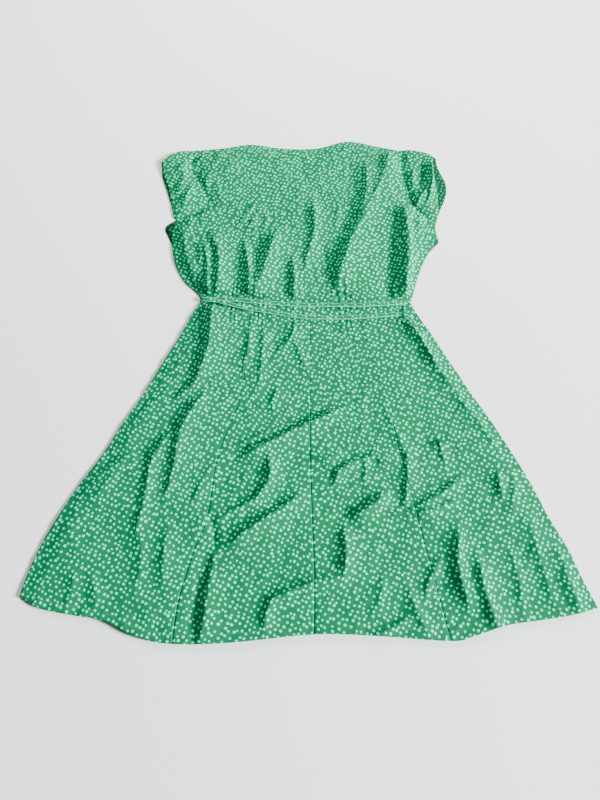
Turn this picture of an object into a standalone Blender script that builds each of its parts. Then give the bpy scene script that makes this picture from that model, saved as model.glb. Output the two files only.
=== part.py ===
"""Wrap dress laid flat, face down, so that its back is uppermost.

Every piece is a thin wall of cloth. The hidden fronts lie on the surface,
the back lies on them, and the waist ties lie on the back. Metres, +Z up,
+Y towards the neck, +X towards the wearer's right. The origin is on the
surface, under the middle of the dress.
"""

import math

import bmesh
import bpy
import numpy as np

WALL = 0.0011          # thickness of every piece of cloth
GAP = 0.0004           # clearance between two layers
LAYER = WALL + GAP
SEAM = 0.0004          # clearance between two pieces in plan
CUSHION = 0.0008       # air between the back and the fronts, away from the seams
CUSHION_REACH = 0.030
STEP_WIDTH = 0.060     # how far a layer takes to come down past an edge below it
STEP_MARGIN = 0.004
WAIST_Y = 0.098
TIE_WIDTH = 0.0085
TIE_GAP = 0.0006
LOOP_WIDTH = 0.0045
SLEEVE_FOLD_RADIUS = 0.0018
MIN_FOLD_RADIUS = 0.0002

# Rows of the bodice grids along the side and along the armhole; the sleeves match.
SIDE_ROWS, ARMHOLE_ROWS = 10, 11
BODICE_ROWS = SIDE_ROWS + ARMHOLE_ROWS

# Waist band that the ties press flat: full fold height outside, none inside.
BAND_LOW, BAND_HIGH, BAND_FADE = 0.052, 0.114, 0.030

# Outlines, as (x, y) points on the cutting lines below. MIDDLE is the point of those
# lines that lies over the origin.
MIDDLE = (0.0025, 0.0013)
NECK_AND_SHOULDERS = [
    (-0.222, 0.457), (-0.165, 0.463), (-0.108, 0.472), (-0.060, 0.466), (-0.009, 0.462),
    (0.035, 0.466), (0.090, 0.481), (0.139, 0.470), (0.194, 0.457),
]
LEFT_ARMHOLE = [
    (-0.248, 0.284), (-0.228, 0.294), (-0.202, 0.307), (-0.190, 0.325), (-0.197, 0.345),
    (-0.210, 0.371), (-0.224, 0.402), (-0.229, 0.430), (-0.222, 0.457),
]
RIGHT_ARMHOLE = [
    (0.252, 0.272), (0.240, 0.288), (0.222, 0.306), (0.211, 0.328), (0.206, 0.350),
    (0.200, 0.374), (0.197, 0.402), (0.196, 0.430), (0.194, 0.457),
]
LEFT_BODICE_SIDE = [
    (-0.192, 0.098), (-0.195, 0.116), (-0.221, 0.142), (-0.237, 0.168), (-0.247, 0.195),
    (-0.253, 0.230), (-0.254, 0.260), (-0.248, 0.284),
]
RIGHT_BODICE_SIDE = [
    (0.192, 0.098), (0.198, 0.116), (0.206, 0.142), (0.215, 0.168), (0.227, 0.195),
    (0.242, 0.222), (0.250, 0.250), (0.252, 0.272),
]
LEFT_UNDER_SIDE = [
    (-0.192, 0.098), (-0.195, 0.116), (-0.221, 0.142), (-0.237, 0.168), (-0.247, 0.195),
    (-0.252, 0.222), (-0.262, 0.245), (-0.270, 0.264), (-0.262, 0.276), (-0.248, 0.284),
]
RIGHT_OVER_SIDE = [
    (0.192, 0.098), (0.198, 0.116), (0.206, 0.142), (0.215, 0.168), (0.227, 0.195),
    (0.240, 0.215), (0.256, 0.233), (0.253, 0.248), (0.252, 0.272),
]
LEFT_SKIRT_SIDE = [
    (-0.192, 0.098), (-0.203, 0.078), (-0.222, 0.033), (-0.251, -0.026), (-0.278, -0.083),
    (-0.308, -0.137), (-0.334, -0.190), (-0.365, -0.240), (-0.390, -0.288), (-0.411, -0.335),
    (-0.425, -0.380), (-0.431, -0.412),
]
RIGHT_SKIRT_SIDE = [
    (0.192, 0.098), (0.201, 0.078), (0.225, 0.033), (0.255, -0.026), (0.285, -0.083),
    (0.315, -0.137), (0.341, -0.190), (0.364, -0.240), (0.382, -0.288), (0.403, -0.335),
    (0.418, -0.380), (0.436, -0.428),
]
LEFT_SEAM = [
    (-0.099, 0.098), (-0.104, -0.020), (-0.112, -0.092), (-0.124, -0.128), (-0.145, -0.200),
    (-0.156, -0.295), (-0.174, -0.346), (-0.192, -0.422), (-0.196, -0.478),
]
CENTRE_SEAM = [(0.009, 0.098), (0.008, -0.092), (0.007, -0.200), (0.012, -0.376), (0.011, -0.465)]
RIGHT_SEAM = [
    (0.090, 0.098), (0.102, 0.041), (0.133, -0.088), (0.145, -0.135), (0.156, -0.200),
    (0.184, -0.340), (0.211, -0.474),
]
HEM = [
    (-0.431, -0.412), (-0.399, -0.428), (-0.349, -0.438), (-0.301, -0.446), (-0.251, -0.468),
    (-0.196, -0.478), (-0.109, -0.476), (0.011, -0.465), (0.103, -0.467), (0.211, -0.474),
    (0.244, -0.468), (0.293, -0.453), (0.342, -0.446), (0.390, -0.439), (0.436, -0.428),
]
LEFT_SLEEVE_HEM = [(-0.256, 0.294), (-0.261, 0.322), (-0.270, 0.360), (-0.282, 0.395), (-0.289, 0.428)]
LEFT_SLEEVE_TOP = [(-0.289, 0.428), (-0.272, 0.444), (-0.250, 0.455), (-0.222, 0.4575)]
RIGHT_SLEEVE_HEM = [(0.257, 0.284), (0.262, 0.322), (0.261, 0.366), (0.257, 0.400), (0.260, 0.438)]
RIGHT_SLEEVE_TOP = [(0.260, 0.438), (0.250, 0.448), (0.222, 0.456), (0.194, 0.457)]

# Free edges of the two hidden fronts: x at each y.
WRAP_Y = (-0.460, WAIST_Y, 0.478)
OVER_EDGE_X = (-0.240, -0.115, 0.090)
UNDER_EDGE_X = (0.240, 0.115, -0.108)

# Largest folds of the back: a ridge line from one end to the other, its height,
# and how wide its left and right flanks are.
FOLDS = [
    # x0,     y0,     x1,     y1,     height, left,  right
    (-0.183, 0.225, -0.180, 0.135, 0.0060, 0.010, 0.010),
    (-0.146, 0.280, -0.138, 0.130, 0.0080, 0.020, 0.024),
    (-0.034, 0.232, -0.090, 0.125, 0.0070, 0.012, 0.018),
    (0.022, 0.330, 0.028, 0.195, 0.0055, 0.014, 0.022),
    (0.140, 0.385, 0.100, 0.270, 0.0085, 0.012, 0.022),
    (0.100, 0.270, 0.078, 0.150, 0.0085, 0.012, 0.024),
    (0.218, 0.235, 0.190, 0.135, 0.0060, 0.012, 0.014),
    (0.165, 0.430, 0.172, 0.330, 0.0060, 0.018, 0.016),
    (-0.170, 0.430, -0.160, 0.345, 0.0045, 0.020, 0.024),
    (-0.214, 0.030, -0.226, -0.070, 0.0060, 0.018, 0.014),
    (-0.245, -0.110, -0.262, -0.240, 0.0080, 0.020, 0.014),
    (-0.145, -0.075, -0.190, -0.245, 0.0065, 0.022, 0.018),
    (0.050, -0.095, -0.085, -0.160, 0.0065, 0.012, 0.020),
    (-0.020, -0.240, -0.125, -0.305, 0.0080, 0.012, 0.020),
    (0.125, -0.236, 0.070, -0.276, 0.0060, 0.012, 0.020),
    (0.190, 0.040, 0.250, -0.045, 0.0070, 0.014, 0.022),
    (0.250, -0.300, 0.262, -0.400, 0.0060, 0.014, 0.014),
    (0.272, -0.290, 0.310, -0.430, 0.0090, 0.014, 0.026),
    (-0.158, -0.345, -0.176, -0.465, 0.0070, 0.018, 0.012),
    (-0.350, -0.300, -0.372, -0.410, 0.0060, 0.024, 0.020),
    (0.395, -0.330, 0.412, -0.420, 0.0060, 0.020, 0.018),
    (0.070, -0.390, 0.100, -0.450, 0.0050, 0.022, 0.022),
]

# Centre lines of the ties, as (x, y) points.
UPPER_TIE = [
    (-0.186, 0.1045), (-0.150, 0.1035), (-0.118, 0.1010), (-0.073, 0.0965), (-0.009, 0.0915),
    (0.060, 0.0910), (0.109, 0.0915), (0.150, 0.0945), (0.186, 0.0985),
]
LOWER_TIE = [
    (-0.186, 0.1040), (-0.163, 0.1000), (-0.139, 0.0925), (-0.107, 0.0850), (-0.073, 0.0785),
    (-0.009, 0.0670), (0.050, 0.0650), (0.100, 0.0665), (0.140, 0.0700), (0.172, 0.0725),
    (0.186, 0.0650), (0.196, 0.0500),
]
# Along the lower tie, where it climbs over the upper one at the left side.
CLIMB_START_X, CLIMB_END_X = -0.112, -0.138
SIDE_DROP_X = -0.188   # the ties turn down round the left side from here
LOOP_TOP = (0.1790, 0.0905)
LOOP_FOOT = (0.1795, 0.0530)

GREEN = (0.065, 0.360, 0.165, 1.0)
DARK_GREEN = (0.045, 0.270, 0.120, 1.0)
PALE_GREEN = (0.180, 0.560, 0.330, 1.0)


# ------------------------------------------------------------------ curves

def smooth_curve(points):
    """Return f(t), t from 0 to 1 by length, on a smooth line through points."""
    spaced = [points[0], *points, points[-1]]
    dense = []
    for before, start, end, after in zip(spaced, spaced[1:], spaced[2:], spaced[3:]):
        p0, p1, p2, p3 = (np.array(p) for p in (before, start, end, after))
        for s in np.linspace(0.0, 1.0, 12, endpoint=False):
            bend = (2 * p0 - 5 * p1 + 4 * p2 - p3) * s * s + (3 * p1 - p0 - 3 * p2 + p3) * s ** 3
            dense.append(0.5 * (2 * p1 + (p2 - p0) * s + bend))
    dense.append(np.array(points[-1]))
    dense = np.array(dense)
    run = np.concatenate([[0.0], np.cumsum(np.linalg.norm(np.diff(dense, axis=0), axis=1))])

    def at(t):
        place = t * run[-1]
        return np.array([np.interp(place, run, dense[:, 0]), np.interp(place, run, dense[:, 1])])

    return at


def shifted(curve, dx=0.0, dy=0.0):
    """The same curve moved in plan, to leave half of a seam's clearance."""
    offset = np.array([dx, dy])
    return lambda t: curve(t) + offset


def joined(first, second, share):
    """Two curves end to end, the first taking that share of t."""
    return lambda t: first(t / share) if t < share else second((t - share) / (1.0 - share))


def reach_along(curve, x):
    """The t at which a curve that runs left to right passes x."""
    steps = np.linspace(0.0, 1.0, 400)
    return float(np.interp(x, [curve(t)[0] for t in steps], steps))


def stretch_of(curve, start_x, end_x):
    """The part of a left-to-right curve between two values of x."""
    low, high = reach_along(curve, start_x), reach_along(curve, end_x)
    return lambda t: curve(low + (high - low) * t)


def side_from(points, waist_y):
    """A side edge whose first point is moved to its own side of the waist seam."""
    return smooth_curve([(points[0][0], waist_y), *points[1:]])


def straight(start, end):
    start, end = np.array(start), np.array(end)
    return lambda t: start + (end - start) * t


def patch(bottom, top, left, right):
    """Return f(u, v) that fills the four curves smoothly."""
    def at(u, v):
        edges = (1 - v) * bottom(u) + v * top(u) + (1 - u) * left(v) + u * right(v)
        lower = (1 - u) * bottom(0.0) + u * bottom(1.0)
        upper = (1 - u) * top(0.0) + u * top(1.0)
        return edges - (1 - v) * lower - v * upper
    return at


# ----------------------------------------------------------------- heights

def ease(value):
    value = min(1.0, max(0.0, value))
    return value * value * (3.0 - 2.0 * value)


LEFT_EDGE = sorted((y, x) for x, y in LEFT_SKIRT_SIDE[1:] + LEFT_BODICE_SIDE + LEFT_ARMHOLE[1:])
RIGHT_EDGE = sorted((y, x) for x, y in RIGHT_SKIRT_SIDE[1:] + RIGHT_BODICE_SIDE + RIGHT_ARMHOLE[1:])


def side_distance(x, y):
    """How far a point of the back lies inside the nearer side edge."""
    left = np.interp(y, *zip(*LEFT_EDGE))
    right = np.interp(y, *zip(*RIGHT_EDGE))
    return max(0.0, min(x - left, right - x))


def over_front_lift(x, y):
    """1 above the over-wrap front, falling to 0 past its free edge."""
    past = np.interp(y, WRAP_Y, OVER_EDGE_X) - x
    return 1.0 - ease((past - STEP_MARGIN) / STEP_WIDTH)


def under_front_lift(x, y):
    """1 above the under-wrap front, falling to 0 past its free edge."""
    past = x - np.interp(y, WRAP_Y, UNDER_EDGE_X)
    return 1.0 - ease((past - STEP_MARGIN) / STEP_WIDTH)


def fold_height(x, y):
    """Height of the back's folds; none under the ties or along the side seams."""
    total = 0.0
    for x0, y0, x1, y1, height, left, right in FOLDS:
        along = np.array([x1 - x0, y1 - y0])
        length = float(np.linalg.norm(along))
        along /= length
        rel = np.array([x - x0, y - y0])
        run = float(rel @ along)
        side = float(rel[0] * -along[1] + rel[1] * along[0])
        side = -side if along[1] > 0 else side
        flank = right if side > 0 else left
        end_fade = ease(0.5 + run / 0.040) * ease(0.5 + (length - run) / 0.040)
        total = max(total, height * end_fade * math.exp(-(side / flank) ** 2))
    below, above = BAND_LOW - y, y - BAND_HIGH
    return total * ease(max(below, above) / BAND_FADE) * ease(side_distance(x, y) / 0.022)


def over_front_height(x, y):
    return 0.0


def under_front_height(x, y):
    return LAYER * over_front_lift(x, y)


def back_rest_height(x, y):
    """Underside of the back without its folds."""
    fronts = over_front_lift(x, y) + under_front_lift(x, y)
    return LAYER * fronts + CUSHION * ease(side_distance(x, y) / CUSHION_REACH)


def back_height(x, y):
    return back_rest_height(x, y) + fold_height(x, y)


# ------------------------------------------------------------------ pieces

def clear_scene():
    for item in list(bpy.data.objects):
        bpy.data.objects.remove(item, do_unlink=True)


def make_material(name, colour):
    material = bpy.data.materials.new(name)
    material.use_nodes = True
    shader = material.node_tree.nodes["Principled BSDF"]
    shader.inputs["Base Color"].default_value = colour
    shader.inputs["Roughness"].default_value = 0.85
    shader.inputs["Metallic"].default_value = 0.0
    return material


def make_sheet(name, collection, columns, rows, place, colour=GREEN):
    """A grid of cloth, each corner set by place(u, v), given its wall upwards."""
    mesh = bpy.data.meshes.new(name)
    builder = bmesh.new()
    bmesh.ops.create_grid(builder, x_segments=columns, y_segments=rows, size=0.5)
    for corner in builder.verts:
        x, y, z = place(corner.co.x + 0.5, corner.co.y + 0.5)
        corner.co = (x - MIDDLE[0], y - MIDDLE[1], z)
    builder.to_mesh(mesh)
    builder.free()
    mesh.shade_smooth()
    piece = bpy.data.objects.new(name, mesh)
    collection.objects.link(piece)
    mesh.materials.append(make_material(name + "_cloth", colour))
    wall = piece.modifiers.new("Wall", "SOLIDIFY")
    wall.thickness = WALL
    wall.offset = 1.0
    wall.use_quality_normals = True
    return piece


def laid(outline, height):
    """Place a flat patch at the height of its layer."""
    def place(u, v):
        x, y = outline(u, v)
        return x, y, height(x, y)
    return place


def make_bodice(collection):
    half = SEAM / 2
    waist_y = WAIST_Y + half
    side_share = SIDE_ROWS / BODICE_ROWS
    left_armhole = shifted(smooth_curve(LEFT_ARMHOLE), 0.0, -half)
    right_armhole = shifted(smooth_curve(RIGHT_ARMHOLE), 0.0, -half)
    left = joined(side_from(LEFT_BODICE_SIDE, waist_y), left_armhole, side_share)
    right = joined(side_from(RIGHT_BODICE_SIDE, waist_y), right_armhole, side_share)
    neck = smooth_curve(NECK_AND_SHOULDERS)
    outline = patch(
        straight((LEFT_BODICE_SIDE[0][0] + half, waist_y), (RIGHT_BODICE_SIDE[0][0] - half, waist_y)),
        neck, shifted(left, half), shifted(right, -half))
    make_sheet("bodice_back", collection, 24, BODICE_ROWS, laid(outline, back_height))

    left = joined(side_from(LEFT_UNDER_SIDE, waist_y), left_armhole, side_share)
    inner_top = (UNDER_EDGE_X[2], WRAP_Y[2] - 0.006)
    outline = patch(
        straight((LEFT_BODICE_SIDE[0][0] + half, waist_y), (UNDER_EDGE_X[1], waist_y)),
        straight(LEFT_ARMHOLE[-1], inner_top), shifted(left, half),
        straight((UNDER_EDGE_X[1], waist_y), inner_top))
    make_sheet("bodice_front_under", collection, 9, BODICE_ROWS, laid(outline, under_front_height), DARK_GREEN)

    right = joined(side_from(RIGHT_OVER_SIDE, waist_y), right_armhole, side_share)
    inner_top = (OVER_EDGE_X[2], WRAP_Y[2] - 0.001)
    outline = patch(
        straight((OVER_EDGE_X[1], waist_y), (RIGHT_BODICE_SIDE[0][0] - half, waist_y)),
        straight(inner_top, RIGHT_ARMHOLE[-1]),
        straight((OVER_EDGE_X[1], waist_y), inner_top), shifted(right, -half))
    make_sheet("bodice_front_over", collection, 9, BODICE_ROWS, laid(outline, over_front_height), DARK_GREEN)


def up_from_hem(points, inset, waist_y):
    """A skirt side that runs upwards, as the fronts' patches need it."""
    line = shifted(side_from(points, waist_y), inset)
    return lambda t: line(1.0 - t)


def make_skirt(collection):
    half = SEAM / 2
    waist_y = WAIST_Y - half
    hem = smooth_curve(HEM)
    lines = [LEFT_SKIRT_SIDE, LEFT_SEAM, CENTRE_SEAM, RIGHT_SEAM, RIGHT_SKIRT_SIDE]
    names = ["outer_left", "inner_left", "inner_right", "outer_right"]
    columns = [7, 5, 5, 7]
    for name, count, left, right in zip(names, columns, lines, lines[1:]):
        outline = patch(
            straight((left[0][0] + half, waist_y), (right[0][0] - half, waist_y)),
            stretch_of(hem, left[-1][0] + half, right[-1][0] - half),
            shifted(side_from(left, waist_y), half), shifted(side_from(right, waist_y), -half))
        down = lambda u, v, outline=outline: outline(u, 1.0 - v)
        make_sheet("skirt_back_" + name, collection, count, 22, laid(down, back_height))

    # The hidden fronts stop a little short of the back's hem.
    front_hem = shifted(hem, 0.0, 0.003)
    foot = lambda x: tuple(front_hem(reach_along(hem, x)))
    outline = patch(
        stretch_of(front_hem, OVER_EDGE_X[0], RIGHT_SKIRT_SIDE[-1][0] - 0.002),
        straight((OVER_EDGE_X[1], waist_y), (RIGHT_SKIRT_SIDE[0][0] - half, waist_y)),
        straight(foot(OVER_EDGE_X[0]), (OVER_EDGE_X[1], waist_y)),
        up_from_hem(RIGHT_SKIRT_SIDE, -0.001, waist_y))
    make_sheet("skirt_front_over", collection, 10, 14, laid(outline, over_front_height), DARK_GREEN)
    outline = patch(
        stretch_of(front_hem, LEFT_SKIRT_SIDE[-1][0] + 0.002, UNDER_EDGE_X[0]),
        straight((LEFT_SKIRT_SIDE[0][0] + half, waist_y), (UNDER_EDGE_X[1], waist_y)),
        up_from_hem(LEFT_SKIRT_SIDE, 0.001, waist_y),
        straight(foot(UNDER_EDGE_X[0]), (UNDER_EDGE_X[1], waist_y)))
    make_sheet("skirt_front_under", collection, 14, 14, laid(outline, under_front_height), DARK_GREEN)


def make_sleeve(name, collection, armhole, hem, top, opening_side, front_reach):
    """One piece folded over the shoulder line: back layer, fold, front layer.

    opening_side is -1 where the sleeve opens to the left and 1 to the right;
    front_reach is how far the front layer shows past the back layer's hem.
    """
    rows_flat, rows_fold = ARMHOLE_ROWS, 5
    rows = 2 * rows_flat + rows_fold
    clear = SEAM / 2 * opening_side
    seam_line = shifted(smooth_curve(armhole), clear, SEAM / 2)
    hem_line, top_line = smooth_curve(hem), smooth_curve(top)

    def fold_radius(out):
        return MIN_FOLD_RADIUS + SLEEVE_FOLD_RADIUS * ease(out / 0.6)

    def layer(reach):
        """The layer in plan: out is 0 at the armhole and 1 at the sleeve hem."""
        shift = np.array([reach * opening_side, 0.0])
        under = straight(seam_line(0.0), hem_line(0.0) + shift)
        fold = lambda out: (top_line(1.0 - out) + shift * out + np.array([clear * (1 - out), 0.0])
                            - np.array([0.0, fold_radius(out)]))
        inner = lambda v: seam_line(v) - np.array([0.0, fold_radius(0.0)]) * v
        outer = lambda v: hem_line(v) + shift - np.array([0.0, fold_radius(1.0)]) * v
        return patch(under, fold, inner, outer)

    back, front = layer(0.0), layer(front_reach)

    def place(u, v):
        out = 1.0 - u if opening_side < 0 else u
        row = v * rows
        radius = fold_radius(out)
        if row <= rows_flat:
            up = row / rows_flat
            x, y = back(out, up)
            return x, y, WALL + 2 * MIN_FOLD_RADIUS + 2 * (radius - MIN_FOLD_RADIUS) * ease(2 * up - 1)
        if row >= rows_flat + rows_fold:
            up = (rows - row) / rows_flat
            x, y = front(out, up)
            return x, y, WALL
        turn = (row - rows_flat) / rows_fold
        x, y = (1 - turn) * back(out, 1.0) + turn * front(out, 1.0)
        angle = math.pi * turn
        return x, y + radius * math.sin(angle), WALL + radius * (1.0 + math.cos(angle))

    make_sheet(name, collection, 5, rows, place)


def make_tie(name, collection, route, extra_height, drop_clearance, columns):
    """A flat strip on the back that follows its route and turns down at the left side."""
    line = smooth_curve(route)

    def place(u, v):
        centre = line(u)
        ahead = line(min(1.0, u + 0.002)) - line(max(0.0, u - 0.002))
        ahead /= np.linalg.norm(ahead)
        x, y = centre + TIE_WIDTH * (v - 0.5) * np.array([-ahead[1], ahead[0]])
        height = back_rest_height(x, y) + WALL + TIE_GAP + extra_height(x)
        past = SIDE_DROP_X - x
        if past > 0:
            x = SIDE_DROP_X - drop_clearance - past * 0.15
            height = max(0.0004, height - past * 0.9)
        return x, y, height

    make_sheet(name, collection, columns, 2, place, PALE_GREEN)


def make_ties(collection):
    make_tie("waist_tie_upper", collection, UPPER_TIE, lambda x: 0.0, 0.0, 34)

    def climb(x):
        return (LAYER + 0.0002) * ease((CLIMB_START_X - x) / (CLIMB_START_X - CLIMB_END_X))

    make_tie("waist_tie_lower", collection, LOWER_TIE, climb, 0.0, 36)


def make_loop(collection):
    """Belt loop at the right side, which passes over the lower tie."""
    tie_top = WALL + TIE_GAP
    middle, half_hump = 0.0690, 0.0085

    def place(u, v):
        y = LOOP_FOOT[1] + (LOOP_TOP[1] - LOOP_FOOT[1]) * v
        x = LOOP_FOOT[0] + (LOOP_TOP[0] - LOOP_FOOT[0]) * v + LOOP_WIDTH * (u - 0.5)
        over = 1.0 - ease((abs(y - middle) - half_hump) / 0.0050)
        return x, y, back_rest_height(x, y) + WALL + GAP + (tie_top + 0.0003) * over

    make_sheet("tie_loop_right", collection, 1, 12, place, PALE_GREEN)


def main():
    clear_scene()
    collection = bpy.data.collections.new("wrap_dress")
    bpy.context.scene.collection.children.link(collection)
    make_bodice(collection)
    make_skirt(collection)
    make_sleeve("sleeve_left", collection, LEFT_ARMHOLE, LEFT_SLEEVE_HEM, LEFT_SLEEVE_TOP, -1, 0.005)
    make_sleeve("sleeve_right", collection, RIGHT_ARMHOLE, RIGHT_SLEEVE_HEM, RIGHT_SLEEVE_TOP, 1, 0.021)
    make_ties(collection)
    make_loop(collection)


main()
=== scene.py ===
"""Looks of a wrap dress laid flat, face down: printed crepe, gathers, creases and ties.

Lengths are in metres. The outlines repeat the cut of the dress, and every height starts
from the layers below: the two fronts on the surface, the back on them, the ties on top.
"""

import math

import bmesh
import bpy
import numpy as np
from mathutils import Matrix, Vector, noise


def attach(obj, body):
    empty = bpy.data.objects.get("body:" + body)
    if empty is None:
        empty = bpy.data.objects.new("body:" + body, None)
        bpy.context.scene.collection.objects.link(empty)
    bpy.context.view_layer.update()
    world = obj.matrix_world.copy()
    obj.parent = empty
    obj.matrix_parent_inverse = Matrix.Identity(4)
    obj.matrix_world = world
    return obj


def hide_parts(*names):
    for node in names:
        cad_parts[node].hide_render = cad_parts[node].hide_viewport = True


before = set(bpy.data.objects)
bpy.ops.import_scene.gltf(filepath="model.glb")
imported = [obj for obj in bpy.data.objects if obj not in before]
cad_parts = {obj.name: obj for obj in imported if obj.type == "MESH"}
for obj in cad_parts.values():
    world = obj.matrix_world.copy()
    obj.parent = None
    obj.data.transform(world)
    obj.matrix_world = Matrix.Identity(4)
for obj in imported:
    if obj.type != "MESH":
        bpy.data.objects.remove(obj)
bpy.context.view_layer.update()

# ------------------------------------------------------------------ sizes

# Layers, from the surface up.
WALL = 0.0011          # wall of the solid layers that the looks replace
LAYER = 0.0015         # from one layer's underside to the next one's
CLOTH = 0.00045        # thickness of the crepe as shown
CUSHION, CUSHION_REACH = 0.0008, 0.030
STEP_WIDTH, STEP_MARGIN = 0.060, 0.004     # slope of the back beside the free edge of a front
HALF_SEAM = 0.00008
MIDDLE = (0.0025, 0.0013)   # the point of the cutting lines that lies over the origin
WAIST_Y = 0.098

# Puffs of the back, and how they are held down at its edges and under the ties.
BODICE_LOFT, SKIRT_LOFT = 0.0046, 0.0026
LOFT_REACH = 0.035
LOFT_CHANGE_Y, LOFT_CHANGE = 0.075, 0.035
KNEE, TOP = 0.0135, 0.0195                 # puffs flatten above the first and stay below the second
LEAST_RISE = 0.0003
NECK_FADE, NECK_FOLDS = 0.030, 0.2
EDGE_FADE, EDGE_FOLDS = 0.016, 0.25
BAND_MARGIN, BAND_FADE = 0.0055, 0.010     # cloth held flat beside the ties, and its way up from there

# Creases, wrinkles and gathers: heights, sizes and how far they reach.
CREASE_DEPTH, CREASE_SHARPNESS = 1.25, 1.15
CREASE_FADE, CREASE_FADE_SHARE = 0.045, 0.6
CREASE_POINTS = 13
SOFT_WAVE, SOFT_WAVE_SIZE = 0.0016, 0.055
SLANT_WAVE, SLANT_WAVE_SIZE = 0.0009, 0.022
FINE_WAVE, FINE_WAVE_SIZE = 0.00030, 0.008
WRINKLE, WRINKLE_SIZE, WRINKLE_PATCH = 0.0017, 0.020, 0.075
GATHER, GATHER_PITCH, GATHER_Y = 0.0014, 0.0125, 0.085
GATHER_REACH_UP, GATHER_REACH_DOWN = 0.060, 0.036

# Sewing.
HEM_DEPTH, HEM_RISE, HEM_EDGE, HEM_GROOVE = 0.012, 0.0004, 0.003, 0.0022
NECK_STITCH_IN = 0.006
SEAM_DEPTH, SEAM_WIDTH_WEST, SEAM_WIDTH_EAST, SEAM_SHARPNESS = 0.0005, 0.0055, 0.0016, 1.3
STITCH_PITCH, STITCH_LENGTH, STITCH_RADIUS = 0.0033, 0.0022, 0.00028
STITCH_START = 0.002

# Sleeves, ties and belt loop.
SLEEVE_FOLD_RADIUS, MIN_FOLD_RADIUS = 0.0018, 0.0002
REACH_AT_FOLD = 0.35    # how far the lower layer of a sleeve peeks out at the shoulder fold
SLEEVE_PUFF, SLEEVE_CREASE_DEPTH = 0.0038, 1.3
SLEEVE_WAVE, SLEEVE_WAVE_SIZE = 0.0009, 0.022
SLEEVE_LENGTH = 0.36
TIE_WIDTH, TIE_THICK = 0.0068, 0.0011
TIE_LIFT, TIE_WAVE, TIE_WAVE_SIZE = 0.0018, 0.0005, 0.024
TIE_ROUNDING, TIE_RIDGE = 0.00045, 0.00030
TIE_END_X = -0.188      # west of it the ties turn down over the side
LOOP_WIDTH, LOOP_LENGTH, LOOP_THICK, LOOP_RISE = 0.0042, 0.040, 0.0008, 0.0034
NARROWEST_FLAT, LOOP_FLAT = 0.0105, 0.0110     # flat widths given for the ties and the loop

# Print.
FLOWER_SPACING = 0.0079
FLOWER_RADIUS = 0.0020
PRINT_TURN, PRINT_PULL = 27.0, 0.012

# Grids.
SIDE_ROWS, ARMHOLE_ROWS = 80, 88
BODICE_COLUMNS, SKIRT_ROWS, OUTER_COLUMNS, INNER_COLUMNS = 230, 220, 110, 80
FRONT_BODICE_GRID, FRONT_SKIRT_GRID = (24, 48), (40, 60)
SLEEVE_COLUMNS, TURN_ROWS = 40, 14
SLEEVE_STITCH_COLUMN = 4    # grid columns in from the opening edge

# Cutting lines, as (x, y) points.
NECK_AND_SHOULDERS = [
    (-0.222, 0.457), (-0.165, 0.463), (-0.108, 0.472), (-0.060, 0.466), (-0.009, 0.462),
    (0.035, 0.466), (0.090, 0.481), (0.139, 0.470), (0.194, 0.457),
]
LEFT_ARMHOLE = [
    (-0.248, 0.284), (-0.228, 0.294), (-0.202, 0.307), (-0.190, 0.325), (-0.197, 0.345),
    (-0.210, 0.371), (-0.224, 0.402), (-0.229, 0.430), (-0.222, 0.457),
]
RIGHT_ARMHOLE = [
    (0.252, 0.272), (0.240, 0.288), (0.222, 0.306), (0.211, 0.328), (0.206, 0.350),
    (0.200, 0.374), (0.197, 0.402), (0.196, 0.430), (0.194, 0.457),
]
LEFT_BODICE_SIDE = [
    (-0.192, 0.098), (-0.195, 0.116), (-0.221, 0.142), (-0.237, 0.168), (-0.247, 0.195),
    (-0.253, 0.230), (-0.254, 0.260), (-0.248, 0.284),
]
RIGHT_BODICE_SIDE = [
    (0.192, 0.098), (0.198, 0.116), (0.206, 0.142), (0.215, 0.168), (0.227, 0.195),
    (0.242, 0.222), (0.250, 0.250), (0.252, 0.272),
]
LEFT_UNDER_SIDE = [
    (-0.192, 0.098), (-0.195, 0.116), (-0.221, 0.142), (-0.237, 0.168), (-0.247, 0.195),
    (-0.252, 0.222), (-0.262, 0.245), (-0.270, 0.264), (-0.262, 0.276), (-0.248, 0.284),
]
RIGHT_OVER_SIDE = [
    (0.192, 0.098), (0.198, 0.116), (0.206, 0.142), (0.215, 0.168), (0.227, 0.195),
    (0.240, 0.215), (0.256, 0.233), (0.253, 0.248), (0.252, 0.272),
]
LEFT_SKIRT_SIDE = [
    (-0.192, 0.098), (-0.203, 0.078), (-0.222, 0.033), (-0.251, -0.026), (-0.278, -0.083),
    (-0.308, -0.137), (-0.334, -0.190), (-0.365, -0.240), (-0.390, -0.288), (-0.411, -0.335),
    (-0.425, -0.380), (-0.431, -0.412),
]
RIGHT_SKIRT_SIDE = [
    (0.192, 0.098), (0.201, 0.078), (0.225, 0.033), (0.255, -0.026), (0.285, -0.083),
    (0.315, -0.137), (0.341, -0.190), (0.364, -0.240), (0.382, -0.288), (0.403, -0.335),
    (0.418, -0.380), (0.436, -0.428),
]
LEFT_SEAM = [
    (-0.099, 0.098), (-0.104, -0.020), (-0.112, -0.092), (-0.124, -0.128), (-0.145, -0.200),
    (-0.156, -0.295), (-0.174, -0.346), (-0.192, -0.422), (-0.196, -0.478),
]
CENTRE_SEAM = [(0.009, 0.098), (0.008, -0.092), (0.007, -0.200), (0.012, -0.376), (0.011, -0.465)]
RIGHT_SEAM = [
    (0.090, 0.098), (0.102, 0.041), (0.133, -0.088), (0.145, -0.135), (0.156, -0.200),
    (0.184, -0.340), (0.211, -0.474),
]
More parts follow.
